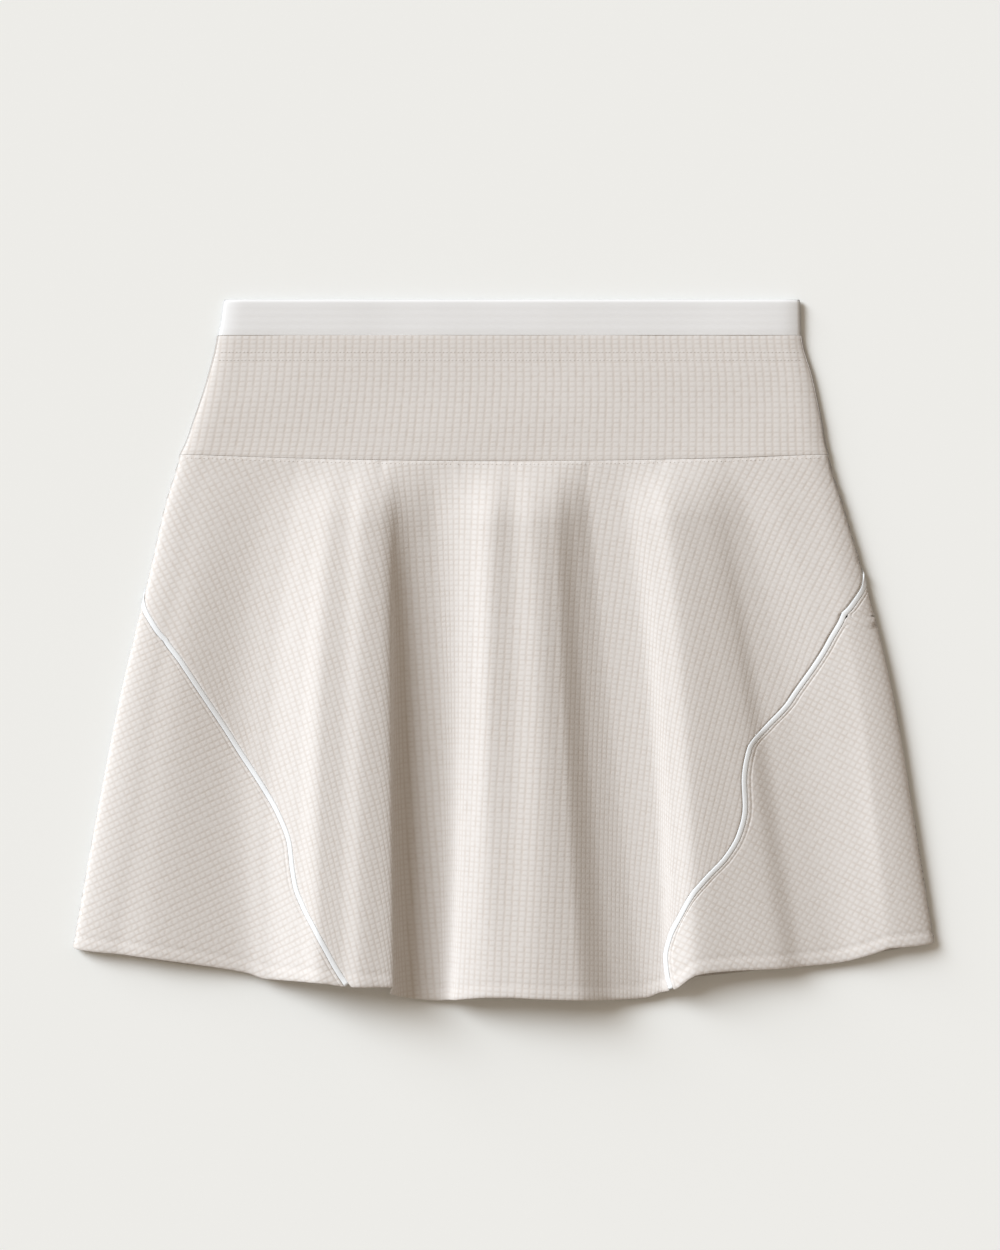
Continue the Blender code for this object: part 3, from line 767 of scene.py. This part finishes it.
def bandRelief(level, around, place):
    length = tube["waistY"] - tube["bandFootY"]
    lift = seamDip((1 - level) * length, *dips["band"])
    lift = lift - bandLook["topDeep"] * np.exp(-(level * length / bandLook["topWide"]) ** 2)
    x = place[:, 0]
    wave = bandLook["wave"] * np.sin(x / bandLook["waveLong"] + bandLook["waveTurn"] * level)
    ripple = bandLook["ripple"] * np.sin(x / bandLook["rippleLong"] + bandLook["rippleStart"])
    return lift + wave + ripple


# Pieces

def columnsOn(lines, step):
    # fixed columns over the folds, closer where the cloth bends more
    angles = [lines[0]]
    for before, after in zip(lines, lines[1:]):
        ends = ring(3.0, [before, after])
        width = np.linalg.norm(ends[1] - ends[0])
        count = max(2, int(round(width / step)))
        angles += [mix(before, after, (i + 1) / count) for i in range(count)]
    return angles


# how closely each sheet is laid out; rows and steps in millimetres
grid = {
    "innerEdges": (17.4, -13.4),    # the columns between these angles are fixed on the folds
    "innerStep": 1.55,
    "skirtRow": 1.62,
    "yokeRow": 1.5,
    "bandRow": 1.5,
    "sideColumns": 56,
    "edgeColumns": 9,
    "edgeStep": 0.45,
    "backColumns": 190,
    "yokeFrontColumns": 170,
    "yokeBackColumns": 90,
    "yokeBackShare": 0.6,
    "yokeGap": 0.02,         # between the yokes at the side folds, in degrees
    "bandColumns": 200,
}
leftInner, rightInner = grid["innerEdges"]
frontFolds = [line[1] for line in foldLines if rightInner < line[1] < leftInner]
innerColumns = columnsOn([leftInner] + frontFolds + [rightInner], grid["innerStep"])

pipingLook = {
    "half": 1.4,             # half its width
    "crown": 0.32,           # its height over the cloth
    "belly": 1.1,            # its depth under the crown
    "sunk": 0.1,
    "frontGap": 0.04,
    "sideGap": 0.12,
    "first": 2.007,          # the levels of its two ends
    "last": 2.997,
    "rows": 230,
    "sides": 16,
}


def frontEdges(level):
    clear = pipingLook["half"] + pipingLook["frontGap"]
    return besideSeam(level, "left", -1, clear), besideSeam(level, "right", 1, clear)


def backEdges(level):
    clear = pipingLook["half"] + pipingLook["sideGap"]
    right = 2 * centreBack + besideSeam(level, "right", -1, clear)
    return right, besideSeam(level, "left", 1, clear)


def frontStops(level):
    left, right = frontEdges(level)
    leftPart = evenStops(level, left, innerColumns[0], grid["sideColumns"])
    rightPart = evenStops(level, innerColumns[-1], right, grid["sideColumns"])
    return np.concatenate([leftPart[:-1], innerColumns, rightPart[1:]])


def backStops(level, probe=0.02):
    # closer columns beside the piping, where the ditch runs; probe is the angle that
    # measures how wide a degree is there
    first, last = backEdges(level)
    turn = 1 if last > first else -1
    ends = ring(level, np.array([first, first + probe * turn, last, last - probe * turn]))
    near = [turn * probe * grid["edgeStep"] / np.linalg.norm(ends[i + 1] - ends[i])
            for i in (0, 2)]
    count = grid["edgeColumns"]
    start = [first + near[0] * i for i in range(count)]
    end = [last - near[1] * i for i in range(count)][::-1]
    middle = evenStops(level, start[-1], end[0], grid["backColumns"])
    return np.concatenate([start[:-1], middle, end[1:]])


def yokeFrontStops(level):
    edge = tube["side"] - grid["yokeGap"]
    return evenStops(level, edge, -edge, grid["yokeFrontColumns"])


def yokeBackStops(level):
    first = 3 * tube["side"] - grid["yokeGap"]
    last = tube["side"] + grid["yokeGap"]
    return evenStops(level, first, last, grid["yokeBackColumns"], grid["yokeBackShare"])


def bandStops(level):
    return evenStops(level, centreBack, -centreBack, grid["bandColumns"])


sideGrain = {"left": 57.0, "right": 54.0, "fade": 1.5}


def sideTilt(around):
    # the back panel's wales where it comes round to the front, and straight grain behind
    around = np.asarray(around)
    leftHeel = tube["heel"]
    rightHeel = 2 * centreBack - tube["heel"]
    left = smooth(leftHeel + sideGrain["fade"], leftHeel, around)
    right = smooth(rightHeel - sideGrain["fade"], rightHeel, around)
    return np.radians(sideGrain["left"]) * left - np.radians(sideGrain["right"]) * right


def edgeDip(relief, ditch=0.0):
    # the panel's edge turns down into the seam beside the piping; a ditch is pressed along it
    # where the seam's spare cloth ends
    def dipped(level, around, place):
        lift = relief(level, around, place)
        run = np.linalg.norm(np.diff(place, axis=0), axis=1)
        reached = np.concatenate([[0.0], np.cumsum(run)])
        for inside in (reached, reached[-1] - reached):
            lift = lift + seamDip(inside, *dips["edge"])
            lift = lift - ditch * bell(inside, dips["ditchAt"], dips["ditchWide"])
        return lift
    return dipped


skirtRows = rowLevels(2.0, 3.0, tube["seamY"] - tube["backHemY"], grid["skirtRow"])
yokeRows = rowLevels(1.0, 2.0, tube["bandFootY"] - tube["seamY"], grid["yokeRow"])
bandRows = rowLevels(0.0, 1.0, tube["waistY"] - tube["bandFootY"], grid["bandRow"])

frontPanel = clothSheet("frontPanel", skirtRows, frontStops,
                        edgeDip(skirtRelief), skirtGrain(frontTilt, 0.0), waffle)
thicken(frontPanel, tube["cloth"])
print("front panel laid")
backPanel = clothSheet("backPanel", skirtRows, backStops,
                       edgeDip(skirtRelief, dips["ditch"]),
                       skirtGrain(sideTilt, centreBack), waffle)
thicken(backPanel, tube["cloth"])
print("back panel laid")
yokeFront = clothSheet("yokeFront", yokeRows, yokeFrontStops, yokeRelief, yokeGrain, waffle)
thicken(yokeFront, tube["cloth"])
yokeBack = clothSheet("yokeBack", yokeRows, yokeBackStops, yokeRelief, yokeGrain, waffle)
thicken(yokeBack, tube["cloth"])
waistband = clothSheet("waistbandCloth", bandRows, bandStops, bandRelief, yokeGrain, elastic)
closeRing(waistband)
thicken(waistband, tube["bandCloth"])
print("yoke and band laid")


def pipingCord(name, side):
    look = pipingLook
    levels = np.linspace(look["first"], look["last"], look["rows"])
    half, sides = look["half"], look["sides"]
    points = np.zeros((len(levels), sides + 1, 3))
    knit = np.zeros((len(levels), sides + 1, 2))
    for i, level in enumerate(levels):
        angle = seamAngle(level, side)
        along = seamDirection(level, side)
        up = outward(level, [angle])[0]
        up = up - along * np.dot(up, along)
        up = up / np.linalg.norm(up)
        sideways = np.cross(up, along)
        under = np.clip((tube["heel"] - abs(angle)) / (tube["heel"] - tube["shoulder"]), 0, 1)
        crown = mix(0.0, look["crown"], under)
        centre = ring(level, [angle])[0]
        for j in range(sides + 1):
            turn = 2 * math.pi * j / sides
            out = math.sin(turn)
            height = (crown if out > 0 else look["belly"]) * out - look["sunk"]
            points[i, j] = centre + sideways * half * math.cos(turn) + up * height
    data = bpy.data.meshes.new(name)
    tubeMesh = bmesh.new()
    bmesh.ops.create_grid(tubeMesh, x_segments=sides, y_segments=len(levels) - 1, size=1.0)
    for vert in tubeMesh.verts:
        column = round((vert.co.x + 1) / 2 * sides)
        row = round((1 - vert.co.y) / 2 * (len(levels) - 1))
        vert.co = Vector(points[row, column]) * mm
    bmesh.ops.remove_doubles(tubeMesh, verts=tubeMesh.verts[:], dist=0.01 * mm)
    bmesh.ops.holes_fill(tubeMesh, edges=[e for e in tubeMesh.edges if e.is_boundary], sides=0)
    bmesh.ops.recalc_face_normals(tubeMesh, faces=tubeMesh.faces[:])
    tubeMesh.to_mesh(data)
    tubeMesh.free()
    data.shade_smooth()
    data.materials.append(cordCloth)
    piece = bpy.data.objects.new(name, data)
    bpy.context.scene.collection.objects.link(piece)
    return piece


pipingLeft = pipingCord("pipingLeft", "left")
pipingRight = pipingCord("pipingRight", "right")
print("piping laid")


shortsLook = {
    "top": 100.0, "hip": 20.0, "leg": -104.0, "crotch": -50.0,
    "waistHalf": 158.0, "hipHalf": 164.0, "legHalf": 150.0, "inseamHalf": 15.0,
    "crotchHalf": 9.0, "crotchRise": 7.0, "crotchSteps": 12,
    "thick": 0.9, "floor": 1.55, "apart": 1.3, "edge": 0.3,
}


def shortsLayer(name, layer):
    look = shortsLook
    left = [(-look["waistHalf"], look["top"]), (-look["hipHalf"], look["hip"]),
            (-look["legHalf"], look["leg"]), (-look["inseamHalf"], look["leg"])]
    crotch = []
    for step in range(look["crotchSteps"] + 1):
        turn = math.pi * step / look["crotchSteps"]
        crotch.append((-look["crotchHalf"] * math.cos(turn),
                       look["crotch"] + look["crotchRise"] * math.sin(turn)))
    right = [(-x, y) for x, y in reversed(left)]
    floor = look["floor"] + layer * look["apart"]
    mesh = bmesh.new()
    outline = [mesh.verts.new(Vector((x, y, floor)) * mm) for x, y in left + crotch + right]
    bottom = mesh.faces.new(outline)
    lifted = bmesh.ops.extrude_face_region(mesh, geom=[bottom])["geom"]
    top = [item for item in lifted if isinstance(item, bmesh.types.BMVert)]
    bmesh.ops.translate(mesh, verts=top, vec=Vector((0, 0, look["thick"])) * mm)
    bmesh.ops.recalc_face_normals(mesh, faces=mesh.faces[:])
    rims = [edge for edge in mesh.edges
            if abs(edge.verts[0].co.z - edge.verts[1].co.z) < look["thick"] / 2 * mm]
    bmesh.ops.bevel(mesh, geom=rims, offset=look["edge"] * mm, affect="EDGES", segments=3,
                    profile=0.5, material=-1)
    bmesh.ops.recalc_face_normals(mesh, faces=mesh.faces[:])
    data = bpy.data.meshes.new(name)
    mesh.to_mesh(data)
    mesh.free()
    data.materials.append(jersey)
    piece = bpy.data.objects.new(name, data)
    bpy.context.scene.collection.objects.link(piece)
    return piece


shortsBack = shortsLayer("shortsBack", 0)
shortsFront = shortsLayer("shortsFront", 1)
print("shorts laid")


def stitchRow(name, path, pitch, long, wide, ahead=0.3):
    # path gives points and normals along a seam, in millimetres
    points, normals = path
    run = np.linalg.norm(np.diff(points, axis=0), axis=1)
    reached = np.concatenate([[0.0], np.cumsum(run)])
    mesh = bmesh.new()

    def between(values, at):
        return np.array([np.interp(at, reached, values[:, k]) for k in range(3)])

    for i in range(int(reached[-1] / pitch)):
        at = (i + 0.5) * pitch
        here = between(points, at)
        up = Vector(between(normals, at)).normalized()
        along = Vector(between(points, at + ahead) - here).normalized()
        sideways = up.cross(along).normalized()
        frameHere = Matrix((along * long / 2, sideways * wide / 2, up * wide / 2)).transposed()
        frameHere = frameHere.to_4x4() * mm
        frameHere.translation = Vector(here) * mm
        frameHere[3][3] = 1.0
        bmesh.ops.create_icosphere(mesh, subdivisions=1, radius=1.0, matrix=frameHere)
    data = bpy.data.meshes.new(name)
    mesh.to_mesh(data)
    mesh.free()
    data.shade_smooth()
    data.materials.append(thread)
    piece = bpy.data.objects.new(name, data)
    bpy.context.scene.collection.objects.link(piece)
    return piece


def pathOnTube(levelAt, angles, relief, clear=0.05):
    points = []
    normals = []
    for angle in angles:
        level = levelAt(angle)
        place = ring(level, [angle])
        up = outward(level, [angle])
        lift = relief(level, np.array([angle]), place)
        points.append((place + up * (lift[:, None] + clear))[0])
        normals.append(up[0])
    return np.array(points), np.array(normals)


stitchLook = {
    # pitch, length and width of a stitch
    "band": (2.0, 1.5, 0.26),
    "seam": (2.3, 1.0, 0.30),
    "hem": (2.4, 1.6, 0.20),
    "fromSeam": 1.7,         # the row's distance below the skirt seam
    # first angle, last angle and points of each path
    "frontSweep": (39.5, -39.5, 700),
    "hemSweeps": {
        "hemStitchLeft": (40.5, 22.0, 260),
        "hemStitchFront": (17.2, -13.8, 560),
        "hemStitchRight": (-18.2, -40.5, 260),
    },
}


def seamAt(angle):
    return float(seamHeight(np.array([angle]))[0])


def skirtLength(angle):
    return seamAt(angle) - float(hemHeight(np.array([angle]))[0])


def belowSeam(angle):
    return 2 + stitchLook["fromSeam"] / skirtLength(angle)


def aboveHem(angle):
    return 3 - hemLook["turn"] / skirtLength(angle)


frontSweep = np.linspace(*stitchLook["frontSweep"])
stitches = []
for name, height in yokeLook["stitchRows"].items():
    def onYoke(angle, height=height):
        foot = tube["bandFootY"]
        return 1 + (foot - height) / (foot - seamAt(angle))
    path = pathOnTube(onYoke, frontSweep, yokeRelief)
    stitches.append(stitchRow(name, path, *stitchLook["band"]))
path = pathOnTube(belowSeam, frontSweep, skirtRelief)
stitches.append(stitchRow("seamStitch", path, *stitchLook["seam"]))
for name, sweep in stitchLook["hemSweeps"].items():
    path = pathOnTube(aboveHem, np.linspace(*sweep), skirtRelief)
    stitches.append(stitchRow(name, path, *stitchLook["hem"]))
print("stitches sewn,", len(stitches), "rows")

for piece, nodeName, slot in ((frontPanel, "front_panel", "waffle"),
                              (backPanel, "back_panel", "waffle"),
                              (yokeFront, "yoke_front", "waffle"),
                              (yokeBack, "yoke_back", "waffle"),
                              (waistband, "waistband", "elastic"),
                              (pipingLeft, "piping_left", "piping"),
                              (pipingRight, "piping_right", "piping"),
                              (shortsFront, "shorts_front", "jersey"),
                              (shortsBack, "shorts_back", "jersey")):
    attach(piece, "root")
    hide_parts(nodeName)
for row in stitches:
    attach(row, "root")

# Both panels together are cut as a ring sector; its angle is what the wales' tilt gives.
cut = {
    "sector": 100.0,
    "seamRadius": 406.0,
    "length": 288.0,
}


def sectorCut(edgesAt, middle, rowCount=41, columnCount=31):
    # width and length of a panel's flat cut, in metres, and its area
    levels = np.linspace(2.0, 3.0, rowCount)
    radii = cut["seamRadius"] + (levels - 2) * cut["length"]
    across = []
    corners = []
    for level, radius in zip(levels, radii):
        ends = (np.array(edgesAt(level)) - middle) * cut["sector"] / (2 * centreBack)
        angles = np.radians(np.linspace(ends[0], ends[1], columnCount))
        across.append(radius * abs(angles[0] - angles[-1]))
        corners.append(np.stack([radius * np.sin(angles), radius * np.cos(angles)], axis=-1))
    corners = np.concatenate(corners)
    width, length = (corners.max(axis=0) - corners.min(axis=0)) * mm
    across = np.array(across)
    area = np.sum((across[1:] + across[:-1]) / 2 * np.diff(radii)) * mm * mm
    return (width, length), area


def stretchCut(levels, first, last, length, samples=800):
    # a strip that lies as it was cut: its widest row, its length and its area
    arcs = []
    for level in levels:
        points = ring(level, np.linspace(first, last, samples))
        arcs.append(np.linalg.norm(np.diff(points, axis=0), axis=1).sum())
    return (max(arcs) * mm, length * mm), np.mean(arcs) * length * mm * mm


frontCut, frontArea = sectorCut(frontEdges, 0.0)
backCut, backArea = sectorCut(backEdges, centreBack)
yokeLength = tube["bandFootY"] - tube["seamY"]
yokeCut, yokeArea = stretchCut(np.linspace(1, 2, 9), tube["side"], -tube["side"], yokeLength)
bandCut, bandArea = stretchCut((0.0, 0.5, 1.0), centreBack, -centreBack,
                               tube["waistY"] - tube["bandFootY"])

studio = {
    "floorSize": 3.0,        # metres
    "floorDrop": 0.05,       # millimetres under the cloth
    "floorRough": 0.95,
    "floorColour": (0.898, 0.904, 0.883),
    "suns": {
        # strength, degrees above the floor, turn from +X towards +Y, softness in degrees
        "windowLight": (2.95, 31.0, 145.0, 32.0),
        "lowWindowLight": (1.55, 17.0, 142.0, 30.0),
    },
    "sunColour": (0.94, 1.0, 1.068),
    "roomLight": 0.355,
    "roomColour": (1.0, 0.85, 0.69),
    "cameraHeight": 1.6027,
    "aim": (-0.0019, 0.0135),
    "lens": 85.0,
    "sensor": 36.0,
    "farClip": 10.0,
}


def layFloor():
    mesh = bmesh.new()
    bmesh.ops.create_grid(mesh, x_segments=1, y_segments=1, size=studio["floorSize"] / 2)
    bmesh.ops.translate(mesh, verts=mesh.verts[:], vec=(0, 0, -studio["floorDrop"] * mm))
    data = bpy.data.meshes.new("paperFloor")
    mesh.to_mesh(data)
    mesh.free()
    material = bpy.data.materials.new("palePaper")
    shader = shaderNodes(material)[2]
    shader.inputs["Base Color"].default_value = (*studio["floorColour"], 1)
    shader.inputs["Roughness"].default_value = studio["floorRough"]
    shader.inputs["Specular IOR Level"].default_value = 0.0
    data.materials.append(material)
    floor = bpy.data.objects.new("paperFloor", data)
    bpy.context.scene.collection.objects.link(floor)


def lightRoom():
    for name, (strength, high, turned, softness) in studio["suns"].items():
        sun = bpy.data.lights.new(name, "SUN")
        sun.energy = strength
        sun.color = studio["sunColour"]
        sun.angle = math.radians(softness)
        lamp = bpy.data.objects.new(name, sun)
        bpy.context.scene.collection.objects.link(lamp)
        height = math.radians(high)
        turn = math.radians(turned)
        towards = Vector((math.cos(height) * math.cos(turn), math.cos(height) * math.sin(turn),
                          math.sin(height)))
        lamp.rotation_euler = towards.to_track_quat("Z", "Y").to_euler()
    world = bpy.data.worlds.new("room")
    bpy.context.scene.world = world
    world.use_nodes = True
    background = world.node_tree.nodes["Background"]
    background.inputs["Color"].default_value = (*studio["roomColour"], 1)
    background.inputs["Strength"].default_value = studio["roomLight"]


def placeCamera():
    camera = bpy.data.cameras.new("overhead")
    camera.lens = studio["lens"]
    camera.sensor_width = studio["sensor"]
    camera.clip_end = studio["farClip"]
    view = bpy.data.objects.new("overhead", camera)
    bpy.context.scene.collection.objects.link(view)
    view.location = (*studio["aim"], studio["cameraHeight"])
    bpy.context.scene.camera = view


layFloor()
lightRoom()
placeCamera()
bpy.context.scene.view_settings.view_transform = "Standard"
print("studio set")
